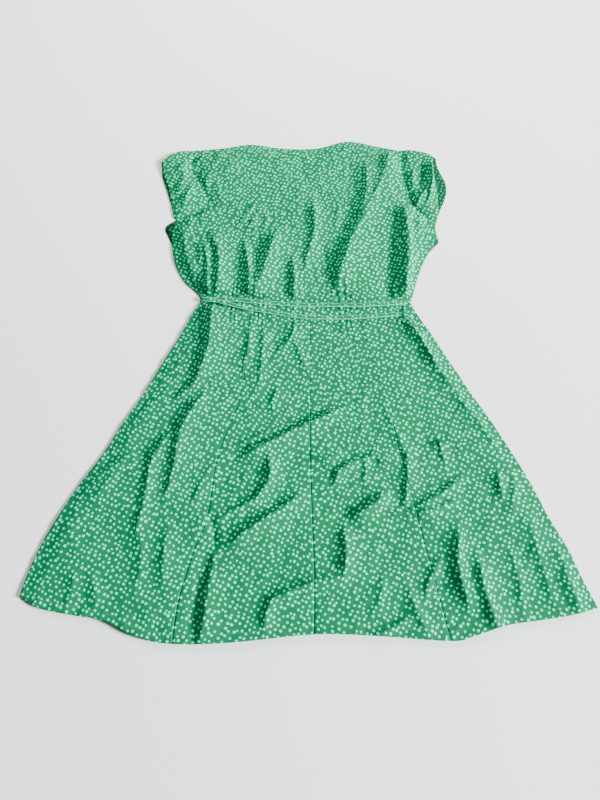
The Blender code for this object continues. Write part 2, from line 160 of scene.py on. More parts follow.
HEM = [
    (-0.431, -0.412), (-0.399, -0.428), (-0.349, -0.438), (-0.301, -0.446), (-0.251, -0.468),
    (-0.196, -0.478), (-0.109, -0.476), (0.011, -0.465), (0.103, -0.467), (0.211, -0.474),
    (0.244, -0.468), (0.293, -0.453), (0.342, -0.446), (0.390, -0.439), (0.436, -0.428),
]
LEFT_SLEEVE_HEM = [(-0.256, 0.294), (-0.261, 0.322), (-0.270, 0.360), (-0.282, 0.395), (-0.289, 0.428)]
LEFT_SLEEVE_TOP = [(-0.289, 0.428), (-0.272, 0.444), (-0.250, 0.455), (-0.222, 0.4575)]
RIGHT_SLEEVE_HEM = [(0.257, 0.284), (0.262, 0.322), (0.261, 0.366), (0.257, 0.400), (0.260, 0.438)]
RIGHT_SLEEVE_TOP = [(0.260, 0.438), (0.250, 0.448), (0.222, 0.456), (0.194, 0.457)]

# Free edges of the two hidden fronts: x at each y.
WRAP_Y = (-0.460, WAIST_Y, 0.478)
OVER_EDGE_X = (-0.240, -0.115, 0.090)
UNDER_EDGE_X = (0.240, 0.115, -0.108)

UPPER_TIE = [
    (-0.190, 0.1045), (-0.150, 0.1035), (-0.118, 0.1010), (-0.073, 0.0965), (-0.009, 0.0915),
    (0.060, 0.0910), (0.109, 0.0915), (0.150, 0.0945), (0.186, 0.0985),
]
LOWER_TIE = [
    (-0.190, 0.1040), (-0.163, 0.1000), (-0.139, 0.0925), (-0.107, 0.0850), (-0.073, 0.0785),
    (-0.009, 0.0670), (0.050, 0.0650), (0.100, 0.0665), (0.140, 0.0700), (0.172, 0.0725),
    (0.186, 0.0650), (0.196, 0.0500),
]
CLIMB_START_X, CLIMB_END_X = -0.112, -0.138
LOOP_LINE = [(0.1795, 0.0530), (0.1790, 0.0690), (0.1790, 0.0905)]

# Creases of the back in millimetres high, wide to the west and wide to the east; each
# runs through three points. A negative height is a trough.
CREASES = [
    # x0, y0, x1, y1, x2, y2, height, west, east
    # bodice
    (-0.190, 0.225, -0.181, 0.175, -0.177, 0.106, 6.0, 8, 7),
    (-0.238, 0.271, -0.226, 0.215, -0.208, 0.153, 3.2, 9, 14),
    (-0.177, 0.243, -0.161, 0.193, -0.161, 0.104, 8.5, 9, 26),
    (-0.214, 0.234, -0.199, 0.215, -0.195, 0.179, 2.4, 6, 8),
    (-0.113, 0.225, -0.104, 0.162, -0.102, 0.102, 6.5, 8, 6),
    (-0.055, 0.248, -0.071, 0.179, -0.095, 0.102, 9.5, 15, 22),
    (-0.098, 0.319, -0.111, 0.295, -0.124, 0.273, 2.6, 5, 6),
    (-0.086, 0.307, -0.099, 0.281, -0.109, 0.257, 2.4, 5, 6),
    (-0.098, 0.276, -0.096, 0.252, -0.096, 0.229, 2.6, 6, 5),
    (0.016, 0.319, 0.019, 0.271, 0.014, 0.222, 6.0, 10, 16),
    (0.011, 0.225, 0.005, 0.197, -0.001, 0.162, 4.0, 6, 10),
    (-0.024, 0.188, -0.020, 0.144, -0.022, 0.096, 5.5, 6, 12),
    (-0.009, 0.359, -0.013, 0.339, -0.012, 0.314, 1.8, 6, 6),
    (0.124, 0.415, 0.121, 0.349, 0.108, 0.290, 6.0, 12, 14),
    (0.175, 0.456, 0.153, 0.379, 0.121, 0.297, 7.0, 13, 30),
    (0.121, 0.297, 0.092, 0.243, 0.057, 0.129, 10.0, 11, 32),
    (0.034, 0.215, 0.042, 0.171, 0.050, 0.130, -3.0, 6, 6),
    (0.193, 0.305, 0.195, 0.215, 0.182, 0.092, 12.0, 18, 10),
    (0.181, 0.281, 0.163, 0.197, 0.154, 0.098, -5.0, 15, 11),
    (0.065, 0.314, 0.063, 0.285, 0.056, 0.252, 2.2, 8, 8),
    (0.210, 0.462, 0.211, 0.446, 0.206, 0.430, 3.2, 7, 8),
    (0.057, 0.110, 0.086, 0.114, 0.130, 0.110, 2.0, 8, 8),
    (-0.148, 0.430, -0.151, 0.409, -0.158, 0.394, 2.6, 6, 8),
    (-0.173, 0.451, -0.176, 0.435, -0.180, 0.420, 2.8, 6, 7),
    (-0.188, 0.394, -0.195, 0.369, -0.189, 0.334, 3.0, 7, 8),
    (-0.204, 0.451, -0.213, 0.430, -0.232, 0.415, 2.6, 5, 7),
    (-0.072, 0.300, -0.075, 0.271, -0.078, 0.243, 2.4, 8, 8),
    # sleeves
    (-0.234, 0.443, -0.240, 0.420, -0.255, 0.402, 3.4, 6, 7),
    (-0.206, 0.394, -0.211, 0.376, -0.208, 0.359, 3.4, 6, 6),
    (-0.222, 0.364, -0.231, 0.339, -0.238, 0.314, 3.0, 7, 7),
    (-0.243, 0.404, -0.242, 0.379, -0.248, 0.349, 2.4, 8, 8),
    (0.255, 0.430, 0.253, 0.374, 0.243, 0.329, 6.5, 7, 5),
    (0.239, 0.351, 0.223, 0.329, 0.205, 0.297, 4.5, 8, 7),
    (0.235, 0.430, 0.234, 0.389, 0.235, 0.359, -3.5, 9, 7),
    (0.218, 0.404, 0.212, 0.364, 0.204, 0.339, 2.4, 7, 9),
    (0.225, 0.300, 0.219, 0.271, 0.217, 0.243, 2.4, 6, 6),
    # skirt
    (-0.168, 0.088, -0.170, 0.010, -0.187, -0.059, 8.0, 9, 24),
    (-0.187, -0.059, -0.201, -0.077, -0.220, -0.089, 4.0, 6, 10),
    (-0.177, -0.091, -0.205, -0.143, -0.212, -0.202, 7.5, 11, 20),
    (-0.212, -0.202, -0.217, -0.228, -0.222, -0.259, 4.5, 8, 16),
    (-0.229, -0.159, -0.250, -0.202, -0.255, -0.253, 5.5, 10, 13),
    (-0.255, -0.253, -0.259, -0.284, -0.266, -0.319, 4.5, 10, 12),
    (-0.153, -0.349, -0.160, -0.405, -0.168, -0.470, -5.5, 9, 9),
    (-0.142, -0.360, -0.148, -0.405, -0.155, -0.470, 4.5, 8, 12),
    (-0.153, -0.290, -0.144, -0.313, -0.141, -0.340, -3.0, 6, 6),
    (-0.059, -0.196, -0.059, -0.234, -0.080, -0.264, 6.5, 9, 13),
    (-0.080, -0.264, -0.102, -0.277, -0.132, -0.293, 4.0, 6, 9),
    (-0.114, -0.332, -0.068, -0.299, -0.009, -0.261, 8.0, 9, 17),
    (-0.095, -0.188, -0.027, -0.154, 0.057, -0.113, 8.0, 5, 15),
    (-0.103, -0.169, -0.078, -0.159, -0.046, -0.148, 3.5, 4, 8),
    (0.060, -0.313, 0.061, -0.349, 0.058, -0.383, 6.5, 10, 12),
    (-0.045, -0.414, 0.003, -0.395, 0.057, -0.386, 7.5, 10, 13),
    (-0.046, -0.410, -0.057, -0.429, -0.062, -0.456, 4.5, 8, 9),
    (0.075, -0.290, 0.098, -0.280, 0.125, -0.258, 9.0, 8, 14),
    (0.046, -0.237, 0.055, -0.218, 0.081, -0.203, 5.5, 5, 9),
    (0.097, -0.202, 0.097, -0.218, 0.094, -0.237, 2.6, 6, 6),
    (0.086, -0.201, 0.117, -0.195, 0.150, -0.201, 5.0, 7, 4),
    (0.165, -0.197, 0.162, -0.237, 0.157, -0.274, 4.2, 6, 9),
    (0.181, -0.273, 0.215, -0.256, 0.248, -0.231, 5.0, 5, 9),
    (0.179, -0.290, 0.210, -0.280, 0.242, -0.265, 5.0, 5, 7),
    (0.219, -0.169, 0.222, -0.186, 0.225, -0.202, 3.0, 5, 6),
    (0.212, -0.174, 0.252, -0.171, 0.300, -0.178, 4.0, 7, 4),
    (0.130, -0.285, 0.160, -0.288, 0.195, -0.286, 3.5, 7, 4),
    (0.237, -0.316, 0.231, -0.371, 0.241, -0.424, 7.0, 11, 11),
    (0.205, -0.357, 0.186, -0.388, 0.178, -0.416, 3.6, 6, 8),
    (0.263, -0.357, 0.267, -0.405, 0.281, -0.459, 8.0, 12, 16),
    (0.154, -0.402, 0.164, -0.432, 0.179, -0.466, 4.5, 12, 9),
    (0.096, -0.470, 0.124, -0.457, 0.151, -0.444, 4.0, 6, 9),
    (0.117, -0.383, 0.113, -0.405, 0.109, -0.432, 2.6, 9, 10),
    (0.179, 0.067, 0.207, 0.013, 0.228, -0.034, 8.0, 13, 12),
    (0.228, -0.034, 0.254, -0.077, 0.278, -0.126, 3.2, 9, 12),
    (0.274, -0.105, 0.299, -0.151, 0.318, -0.184, 2.6, 6, 8),
    (0.309, -0.221, 0.310, -0.242, 0.312, -0.265, 4.5, 8, 10),
    (0.335, -0.228, 0.332, -0.253, 0.325, -0.284, 3.5, 8, 8),
    (0.394, -0.377, 0.401, -0.405, 0.406, -0.435, 5.0, 17, 8),
    (0.388, -0.343, 0.392, -0.360, 0.403, -0.377, 3.6, 8, 8),
    (0.349, -0.302, 0.357, -0.349, 0.366, -0.416, 2.6, 10, 14),
    (0.316, -0.349, 0.322, -0.394, 0.322, -0.432, 2.8, 7, 10),
    (-0.328, -0.383, -0.317, -0.402, -0.314, -0.424, 2.8, 10, 12),
    (-0.351, -0.383, -0.354, -0.405, -0.357, -0.424, 2.4, 10, 12),
    (-0.258, -0.325, -0.252, -0.360, -0.256, -0.405, 2.4, 10, 12),
    (-0.215, -0.308, -0.217, -0.349, -0.217, -0.383, 3.0, 8, 10),
    (-0.290, -0.189, -0.312, -0.221, -0.334, -0.265, 2.6, 14, 20),
    (-0.097, 0.061, -0.101, 0.007, -0.108, -0.048, 2.6, 6, 9),
    (-0.073, 0.045, -0.075, -0.008, -0.080, -0.070, 2.4, 6, 9),
    (-0.018, 0.053, -0.027, 0.022, -0.050, -0.006, 3.0, 6, 8),
    (-0.018, 0.019, -0.008, -0.015, 0.007, -0.048, 2.4, 6, 6),
    (-0.179, -0.265, -0.163, -0.228, -0.139, -0.202, 2.0, 8, 12),
    (0.131, -0.101, 0.151, -0.156, 0.172, -0.215, 2.2, 6, 9),
    (-0.047, -0.073, -0.054, -0.094, -0.056, -0.115, 2.6, 8, 10),
    (0.011, -0.196, 0.036, -0.197, 0.061, -0.186, 3.6, 5, 9),
]


# ----------------------------------------------------------------- curves

def smooth_curve(points):
    """Return f(t) for arrays of t from 0 to 1 by length, on a smooth line through points."""
    spaced = [points[0], *points, points[-1]]
    dense = []
    for before, start, end, after in zip(spaced, spaced[1:], spaced[2:], spaced[3:]):
        p0, p1, p2, p3 = (np.array(p, float) for p in (before, start, end, after))
        for s in np.linspace(0.0, 1.0, 12, endpoint=False):
            bend = (2 * p0 - 5 * p1 + 4 * p2 - p3) * s * s + (3 * p1 - p0 - 3 * p2 + p3) * s ** 3
            dense.append(0.5 * (2 * p1 + (p2 - p0) * s + bend))
    dense.append(np.array(points[-1], float))
    dense = np.array(dense)
    run = np.concatenate([[0.0], np.cumsum(np.linalg.norm(np.diff(dense, axis=0), axis=1))])

    def at(t):
        place = np.asarray(t) * run[-1]
        return np.stack([np.interp(place, run, dense[:, 0]), np.interp(place, run, dense[:, 1])], -1)

    return at


def shifted(curve, dx=0.0, dy=0.0):
    offset = np.array([dx, dy])
    return lambda t: curve(t) + offset


def joined(first, second, share):
    def at(t):
        t = np.asarray(t, float)
        low = first(np.clip(t / share, 0, 1))
        high = second(np.clip((t - share) / (1 - share), 0, 1))
        return np.where((t < share)[..., None], low, high)
    return at


def stretch_of(curve, start_x, end_x):
    steps = np.linspace(0.0, 1.0, 600)
    xs = curve(steps)[:, 0]
    low, high = np.interp([start_x, end_x], xs, steps)
    return lambda t: curve(low + (high - low) * np.asarray(t))


def straight(start, end):
    start, end = np.array(start, float), np.array(end, float)
    return lambda t: start + (end - start) * np.asarray(t)[..., None]


def side_from(points, waist_y):
    return smooth_curve([(points[0][0], waist_y), *points[1:]])


def backwards(curve):
    return lambda t: curve(1.0 - np.asarray(t))


def patch(bottom, top, left, right, columns, rows):
    """Plan of a panel: an array of (rows + 1, columns + 1) points between four curves."""
    u, v = np.linspace(0, 1, columns + 1), np.linspace(0, 1, rows + 1)
    low, high, west, east = bottom(u), top(u), left(v), right(v)
    uu, vv = u[None, :, None], v[:, None, None]
    edges = (1 - vv) * low[None] + vv * high[None] + (1 - uu) * west[:, None] + uu * east[:, None]
    corners = (1 - vv) * ((1 - uu) * low[0] + uu * low[-1]) + vv * ((1 - uu) * high[0] + uu * high[-1])
    return edges - corners


# ---------------------------------------------------------------- heights

def ease(value):
    value = np.clip(value, 0.0, 1.0)
    return value * value * (3.0 - 2.0 * value)


LEFT_EDGE = sorted((y, x) for x, y in LEFT_SKIRT_SIDE[1:] + LEFT_BODICE_SIDE + LEFT_ARMHOLE[1:])
RIGHT_EDGE = sorted((y, x) for x, y in RIGHT_SKIRT_SIDE[1:] + RIGHT_BODICE_SIDE + RIGHT_ARMHOLE[1:])


def side_distance(x, y):
    left = np.interp(y, *zip(*LEFT_EDGE))
    right = np.interp(y, *zip(*RIGHT_EDGE))
    return np.maximum(0.0, np.minimum(x - left, right - x))


def over_front_lift(x, y):
    return 1.0 - ease((np.interp(y, WRAP_Y, OVER_EDGE_X) - x - STEP_MARGIN) / STEP_WIDTH)


def under_front_lift(x, y):
    return 1.0 - ease((x - np.interp(y, WRAP_Y, UNDER_EDGE_X) - STEP_MARGIN) / STEP_WIDTH)


def back_rest(x, y):
    lift = LAYER * (over_front_lift(x, y) + under_front_lift(x, y))
    return lift + CUSHION * ease(side_distance(x, y) / CUSHION_REACH)


def ripple(x, y, size, seed):
    """Even, repeatable waviness of about one unit, with bumps of that size."""
    flat_x, flat_y = np.ravel(x) / size, np.ravel(y) / size
    values = [noise.noise(Vector((a, b, seed))) for a, b in zip(flat_x, flat_y)]
    return np.array(values).reshape(np.shape(x))


def crease_height(x, y):
    """Sum of the listed creases, in metres."""
    total = np.zeros(np.shape(x))
    for x0, y0, x1, y1, x2, y2, height, west, east in CREASES:
        line = smooth_curve([(x0, y0), (x1, y1), (x2, y2)])(np.linspace(0, 1, CREASE_POINTS))
        length = np.linalg.norm(np.diff(line, axis=0), axis=1).sum()
        best = np.full(np.shape(x), 1e9)
        side, run = np.zeros(np.shape(x)), np.zeros(np.shape(x))
        walked = 0.0
        for number, (start, end) in enumerate(zip(line, line[1:])):
            along = end - start
            step = np.linalg.norm(along)
            along = along / step
            across = np.array([-along[1], along[0]])
            across = across if across[0] > 0 else -across
            rx, ry = x - start[0], y - start[1]
            place = rx * along[0] + ry * along[1]
            low = -1e9 if number == 0 else 0.0
            high = 1e9 if number == len(line) - 2 else step
            held = np.clip(place, low, high)
            miss = np.hypot(rx - held * along[0], ry - held * along[1])
            nearer = miss < best
            best = np.where(nearer, miss, best)
            side = np.where(nearer, rx * across[0] + ry * across[1], side)
            run = np.where(nearer, walked + held, run)
            walked += step
        flank = np.where(side > 0, east, west) / 1000.0
        fade_reach = min(CREASE_FADE, CREASE_FADE_SHARE * length)
        fade = ease(0.5 + run / fade_reach) * ease(0.5 + (length - run) / fade_reach)
        profile = np.exp(-np.abs(best / flank) ** CREASE_SHARPNESS)
        total += CREASE_DEPTH * height / 1000.0 * fade * profile
    return total


def band_openness(x, y):
    """0 under and between the waist ties, 1 a little above and below them."""
    above = y - np.interp(x, *zip(*UPPER_TIE))
    below = np.interp(x, *zip(*LOWER_TIE)) - y
    return ease((np.maximum(above, below) - BAND_MARGIN) / BAND_FADE)


def gathers(x, y):
    """Fine upright pleats that the waist seam and the ties draw in."""
    phase = x / GATHER_PITCH + 1.6 * ripple(x, y * 0.15, 0.030, 4.0)
    away = np.where(y > GATHER_Y, GATHER_REACH_UP, GATHER_REACH_DOWN)
    reach = np.exp(-np.abs(y - GATHER_Y) / away)
    uneven = 0.45 + 0.9 * ripple(x, y * 0.2, 0.045, 9.0)
    return GATHER * np.sin(phase * 2 * math.pi) * reach * uneven


def drag_lines(x, y):
    """Sharp little wrinkles: upright on the bodice, slanting across the skirt."""
    upright = ripple(x, y * 0.30, WRINKLE_SIZE, 13.0)
    slanting = ripple((x - y) * 0.75, (x + y) * 0.30, WRINKLE_SIZE, 15.0)
    share = ease((y - 0.02) / 0.10)
    crease = share * upright + (1.0 - share) * slanting
    uneven = 0.7 + 0.9 * ripple(x, y, WRINKLE_PATCH, 17.0)
    return WRINKLE * (0.35 - np.abs(crease)) * uneven


def hem_distance(x, y):
    return y - np.interp(x, *zip(*HEM))


def hem_band(x, y):
    """The turned-up hem stands a little proud, and its stitching sinks in."""
    above = hem_distance(x, y)
    turned = HEM_RISE * (1.0 - ease((above - HEM_DEPTH) / HEM_EDGE))
    return turned - HEM_RISE * np.exp(-((above - HEM_DEPTH) / HEM_GROOVE) ** 2)


def back_surface(x, y):
    """Underside of the back as shown."""
    inside = side_distance(x, y)
    upper = ease((y - LOFT_CHANGE_Y) / LOFT_CHANGE)
    loft = SKIRT_LOFT + (BODICE_LOFT - SKIRT_LOFT) * upper
    top_fade = ease((np.interp(x, *zip(*NECK_AND_SHOULDERS)) - y) / NECK_FADE)
    loft = loft * ease(inside / LOFT_REACH) * top_fade
    folds = crease_height(x, y) * (EDGE_FOLDS + (1.0 - EDGE_FOLDS) * ease(inside / EDGE_FADE))
    folds = folds * (NECK_FOLDS + (1.0 - NECK_FOLDS) * top_fade)
    soft = (SOFT_WAVE * ripple(x, y, SOFT_WAVE_SIZE, 1.0)
            + SLANT_WAVE * ripple(x + 0.6 * y, y - 0.3 * x, SLANT_WAVE_SIZE, 2.0))
    fine = FINE_WAVE * ripple(x, y, FINE_WAVE_SIZE, 3.0)
    puffed = (loft + folds + soft + drag_lines(x, y)) * band_openness(x, y)
    raised = puffed + gathers(x, y) + fine + hem_band(x, y)
    capped = KNEE + (TOP - KNEE) * np.tanh((raised - KNEE) / (TOP - KNEE))
    raised = np.where(raised > KNEE, capped, raised)
    sunk = LEAST_RISE * np.exp(np.clip(raised / LEAST_RISE - 1.0, -8, 0))
    raised = np.where(raised > LEAST_RISE, raised, sunk)
    return back_rest(x, y) + raised


# --------------------------------------------------------------- materials

def new_material(name):
    material = bpy.data.materials.new(name)
    material.use_nodes = True
    nodes = material.node_tree.nodes
    return material, nodes, material.node_tree.links, nodes["Principled BSDF"]


def maths(nodes, links, operation, first, second=None, third=None):
    node = nodes.new("ShaderNodeMath")
    node.operation = operation
    for socket, value in zip(node.inputs, (first, second, third)):
        if value is None:
            continue
        if isinstance(value, (int, float)):
            socket.default_value = value
        else:
            links.new(value, socket)
    return node.outputs[0]


def mix_colour(nodes, links, share, first, second):
    node = nodes.new("ShaderNodeMix")
    node.data_type = "RGBA"
    for socket, value in zip((node.inputs[0], node.inputs[6], node.inputs[7]), (share, first, second)):
        if isinstance(value, (float, tuple)):
            socket.default_value = value
        else:
            links.new(value, socket)
    return node.outputs[2]


def soft_step(nodes, links, value, low, high):
    """0 at low and 1 at high, with a soft edge between them."""
    node = nodes.new("ShaderNodeMapRange")
    node.interpolation_type = "SMOOTHSTEP"
    node.inputs["From Min"].default_value = low
    node.inputs["From Max"].default_value = high
    links.new(value, node.inputs["Value"])
    return node.outputs[0]


def loosened(nodes, links, flat_map):
    """The cloth's map turned a little and pulled about, so that the print has no straight rows."""
    turned = nodes.new("ShaderNodeMapping")
    turned.inputs["Rotation"].default_value = (0.0, 0.0, math.radians(PRINT_TURN))
    links.new(flat_map, turned.inputs["Vector"])
    drift = nodes.new("ShaderNodeTexNoise")
    drift.noise_dimensions = "2D"
    drift.inputs["Scale"].default_value = 11.0
    drift.inputs["Detail"].default_value = 1.0
    links.new(turned.outputs[0], drift.inputs["Vector"])
    pull = nodes.new("ShaderNodeVectorMath")
    pull.operation = "MULTIPLY_ADD"
    pull.inputs[1].default_value = (PRINT_PULL, PRINT_PULL, 0.0)
    links.new(drift.outputs["Color"], pull.inputs[0])
    links.new(turned.outputs[0], pull.inputs[2])
    return pull.outputs[0]


def printed_crepe(name, ground, petal, heart, print_strength=1.0):
    """Woven crepe with scattered five-petalled flowers, laid out on the cloth's own map."""
    material, nodes, links, shader = new_material(name)
    cloth_map = nodes.new("ShaderNodeUVMap")
    cloth_map.uv_map = "cloth"
    cells = nodes.new("ShaderNodeTexVoronoi")
    cells.voronoi_dimensions = "2D"
    cells.feature = "F1"
    cells.inputs["Scale"].default_value = 1.0 / FLOWER_SPACING
    cells.inputs["Randomness"].default_value = 0.52
    layout = loosened(nodes, links, cloth_map.outputs[0])
    links.new(layout, cells.inputs["Vector"])
    offset = nodes.new("ShaderNodeVectorMath")
    offset.operation = "SUBTRACT"
    links.new(layout, offset.inputs[0])
    links.new(cells.outputs["Position"], offset.inputs[1])
    parts = nodes.new("ShaderNodeSeparateXYZ")
    links.new(offset.outputs[0], parts.inputs[0])
    chance = nodes.new("ShaderNodeSeparateColor")
    links.new(cells.outputs["Color"], chance.inputs[0])
    reach = nodes.new("ShaderNodeVectorMath")
    reach.operation = "LENGTH"
    links.new(offset.outputs[0], reach.inputs[0])
    distance = reach.outputs["Value"]
    angle = maths(nodes, links, "ARCTAN2", parts.outputs[1], parts.outputs[0])
    turned = maths(nodes, links, "MULTIPLY_ADD", chance.outputs[0], 2 * math.pi, angle)
    wave = maths(nodes, links, "ABSOLUTE", maths(
        nodes, links, "COSINE", maths(nodes, links, "MULTIPLY", turned, 2.5)))
    lobes = maths(nodes, links, "POWER", wave, 0.55)
    shape = maths(nodes, links, "MULTIPLY_ADD", lobes, 0.66, 0.40)
    spread = maths(nodes, links, "MULTIPLY_ADD", chance.outputs[1], 0.34, 0.83)
    varied = maths(nodes, links, "MULTIPLY", shape, spread)
    radius = maths(nodes, links, "MULTIPLY", varied, FLOWER_RADIUS)
    inside = maths(nodes, links, "SUBTRACT", radius, distance)
    petal_mask = soft_step(nodes, links, inside, -0.00016, 0.00026)
    heart_mask = soft_step(nodes, links, distance, 0.00075, 0.00040)

    place = nodes.new("ShaderNodeTexCoord")
    drift = nodes.new("ShaderNodeTexNoise")
    drift.inputs["Scale"].default_value = 9.0
    drift.inputs["Detail"].default_value = 3.0
    links.new(place.outputs["Object"], drift.inputs["Vector"])
    darker = tuple(c * 0.86 for c in ground[:3]) + (1.0,)
    cloth = mix_colour(nodes, links, drift.outputs["Fac"], ground, darker)
    slub = nodes.new("ShaderNodeTexNoise")
    slub.inputs["Scale"].default_value = 420.0
    slub.inputs["Detail"].default_value = 2.0
    links.new(cloth_map.outputs[0], slub.inputs["Vector"])
    lighter = tuple(min(1.0, c * 1.18 + 0.004) for c in ground[:3]) + (1.0,)
    slubs = maths(nodes, links, "MULTIPLY", slub.outputs["Fac"], 0.5)
    cloth = mix_colour(nodes, links, slubs, cloth, lighter)
    petals = maths(nodes, links, "MULTIPLY", petal_mask, print_strength)
    printed = mix_colour(nodes, links, petals, cloth, petal)
    hearts = maths(nodes, links, "MULTIPLY", heart_mask, 0.75 * print_strength)
    printed = mix_colour(nodes, links, hearts, printed, heart)
    links.new(printed, shader.inputs["Base Color"])

    weave_u = nodes.new("ShaderNodeTexWave")
    weave_v = nodes.new("ShaderNodeTexWave")
    for weave, direction in ((weave_u, "X"), (weave_v, "Y")):
        weave.bands_direction = direction
        weave.inputs["Scale"].default_value = 520.0
        weave.inputs["Distortion"].default_value = 1.6
        links.new(cloth_map.outputs[0], weave.inputs["Vector"])
    threads = maths(nodes, links, "MULTIPLY", weave_u.outputs["Fac"], weave_v.outputs["Fac"])
    grain = maths(nodes, links, "ADD", threads, slub.outputs["Fac"])
    bump = nodes.new("ShaderNodeBump")
    bump.inputs["Strength"].default_value = 0.35
    bump.inputs["Distance"].default_value = 0.00018
    links.new(grain, bump.inputs["Height"])
    links.new(bump.outputs[0], shader.inputs["Normal"])
    shader.inputs["Roughness"].default_value = 0.82
    shader.inputs["Specular IOR Level"].default_value = 0.05
    shader.inputs["Sheen Weight"].default_value = 0.015
    shader.inputs["Sheen Roughness"].default_value = 0.40
    shader.inputs["Sheen Tint"].default_value = (0.30, 0.90, 0.60, 1.0)
    return material


GROUND = (0.0003, 0.142, 0.056, 1.0)
PETAL = (0.03, 0.97, 0.50, 1.0)
HEART = (0.03, 0.40, 0.18, 1.0)
dress_cloth = printed_crepe("green_flowered_crepe", GROUND, PETAL, HEART)
# Wrong side of the crepe: a duller print on a ground darkened below the face's, as painted shade for
# the under layers, the lower sleeve layers and the cut edges.
wrong_side_painted_shade = printed_crepe(
    "crepe_wrong_side_painted_shade", (0.002, 0.066, 0.025, 1.0), (0.04, 0.33, 0.16, 1.0),
    (0.03, 0.20, 0.09, 1.0), 0.80)
tie_cloth = printed_crepe("tie_crepe", (0.003, 0.150, 0.060, 1.0), PETAL, HEART, 0.8)
# Pale strips along the tie edges: a painted highlight, not a colour of the cloth.
tie_edge_highlight = printed_crepe("tie_painted_edge_highlight", (0.060, 0.560, 0.300, 1.0), PETAL, HEART, 0.5)


def thread_material():
    material, nodes, links, shader = new_material("green_thread")
    place = nodes.new("ShaderNodeTexCoord")
    twist = nodes.new("ShaderNodeTexNoise")
    twist.inputs["Scale"].default_value = 1500.0
    links.new(place.outputs["Object"], twist.inputs["Vector"])
    colour = mix_colour(
        nodes, links, twist.outputs["Fac"], (0.010, 0.230, 0.100, 1.0), (0.060, 0.450, 0.230, 1.0))
    links.new(colour, shader.inputs["Base Color"])
    shader.inputs["Roughness"].default_value = 0.6
    return material


thread = thread_material()


# ------------------------------------------------------------------ pieces

def add_piece(name, mesh):
    piece = bpy.data.objects.new(name, mesh)
    bpy.context.scene.collection.objects.link(piece)
    return piece


def cloth_grid(name, points, materials, thickness=CLOTH, highlight_strips=0):
    """A sheet through an array of (rows, columns, 3) points, with its own map in metres.

    The given count of outermost rows of faces on each side takes the second material, a painted
    highlight along the edges. Without them, the second material is the wrong side and the cut edge.
    """
    rows, columns = points.shape[0] - 1, points.shape[1] - 1
    builder = bmesh.new()
    bmesh.ops.create_grid(builder, x_segments=columns, y_segments=rows, size=0.5)
    steps = np.diff(points, axis=1)
    extra = np.linalg.norm(steps, axis=2) - np.hypot(steps[..., 0], steps[..., 1])
    across = points[..., 0].copy()
    across[:, 1:] += np.cumsum(extra, axis=1)
    across -= across[:, columns // 2, None] - points[:, columns // 2, None, 0]
    steps = np.diff(points, axis=0)
    extra = np.linalg.norm(steps, axis=2) - np.hypot(steps[..., 0], steps[..., 1])
    up = points[..., 1].copy()
    up[1:] += np.cumsum(extra, axis=0)
    cloth_map = builder.loops.layers.uv.new("cloth")
    places = {}
    rows_of = {face: int((face.calc_center_median().y + 0.5) * rows) for face in builder.faces}
    for corner in builder.verts:
        column = round((corner.co.x + 0.5) * columns)
        row = round((corner.co.y + 0.5) * rows)
        places[corner] = (across[row, column], up[row, column])
        x, y, z = points[row, column]
        corner.co = (x - MIDDLE[0], y - MIDDLE[1], z)
    for face in builder.faces:
        row = rows_of[face]
        if row < highlight_strips or row >= rows - highlight_strips:
            face.material_index = 1
        for loop in face.loops:
            loop[cloth_map].uv = places[loop.vert]
    mesh = bpy.data.meshes.new(name)
    builder.to_mesh(mesh)
    builder.free()
    mesh.shade_smooth()
    piece = add_piece(name, mesh)
    for material in materials:
        mesh.materials.append(material)
    wall = piece.modifiers.new("Wall", "SOLIDIFY")
    wall.thickness = thickness
    wall.offset = 1.0
    wall.use_quality_normals = True
    if len(materials) > 1 and not highlight_strips:
        wall.material_offset = 1
        wall.material_offset_rim = 1
    return piece


def sew(name, runs, slot, *nodes):
    """One piece of many small rounded stitches along each run, an array of (x, y, z) points."""
    builder = bmesh.new()
    for run in runs:
        steps = np.linalg.norm(np.diff(run, axis=0), axis=1)
        walked = np.concatenate([[0.0], np.cumsum(steps)])
        starts = np.arange(STITCH_START, walked[-1] - STITCH_PITCH, STITCH_PITCH)
        ends = starts + STITCH_LENGTH
        first = np.stack([np.interp(starts, walked, run[:, axis]) for axis in range(3)], -1)
        last = np.stack([np.interp(ends, walked, run[:, axis]) for axis in range(3)], -1)
        for start, end in zip(first, last):
            middle = (start + end) / 2 - np.array([*MIDDLE, 0.0])
            turn = Vector(end - start).to_track_quat("X", "Z").to_matrix().to_4x4()
            size = Matrix.Diagonal((STITCH_LENGTH / 2, STITCH_RADIUS, STITCH_RADIUS, 1.0))
            bmesh.ops.create_icosphere(
                builder, subdivisions=1, radius=1.0, matrix=Matrix.Translation(middle) @ turn @ size)
    mesh = bpy.data.meshes.new(name)
    builder.to_mesh(mesh)
    builder.free()
    mesh.shade_smooth()
    mesh.materials.append(thread)
    piece = add_piece(name, mesh)
    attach(piece, "root")
    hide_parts(*nodes)


def flat_area(points):
    a, b = np.diff(points[:-1], axis=1), np.diff(points[:, :-1], axis=0)
    return float(np.abs(a[..., 0] * b[..., 1] - a[..., 1] * b[..., 0]).sum())


def declare(piece, node, area, width, length):
    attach(piece, "root")
    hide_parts(node)
    area = min(area, 0.98 * width * length)


def panel(name, node, plan, surface, materials):
    """One laid panel: its plan lifted to its layer's surface."""
    x, y = plan[..., 0], plan[..., 1]
    points = np.stack([x, y, surface(x, y)], -1)
    piece = cloth_grid(name, points, materials)
    width, length = float(np.ptp(x)), float(np.ptp(y))
    area = max(flat_area(plan) * 1.03, 0.31 * width * length)
    declare(piece, node, area, width, length)


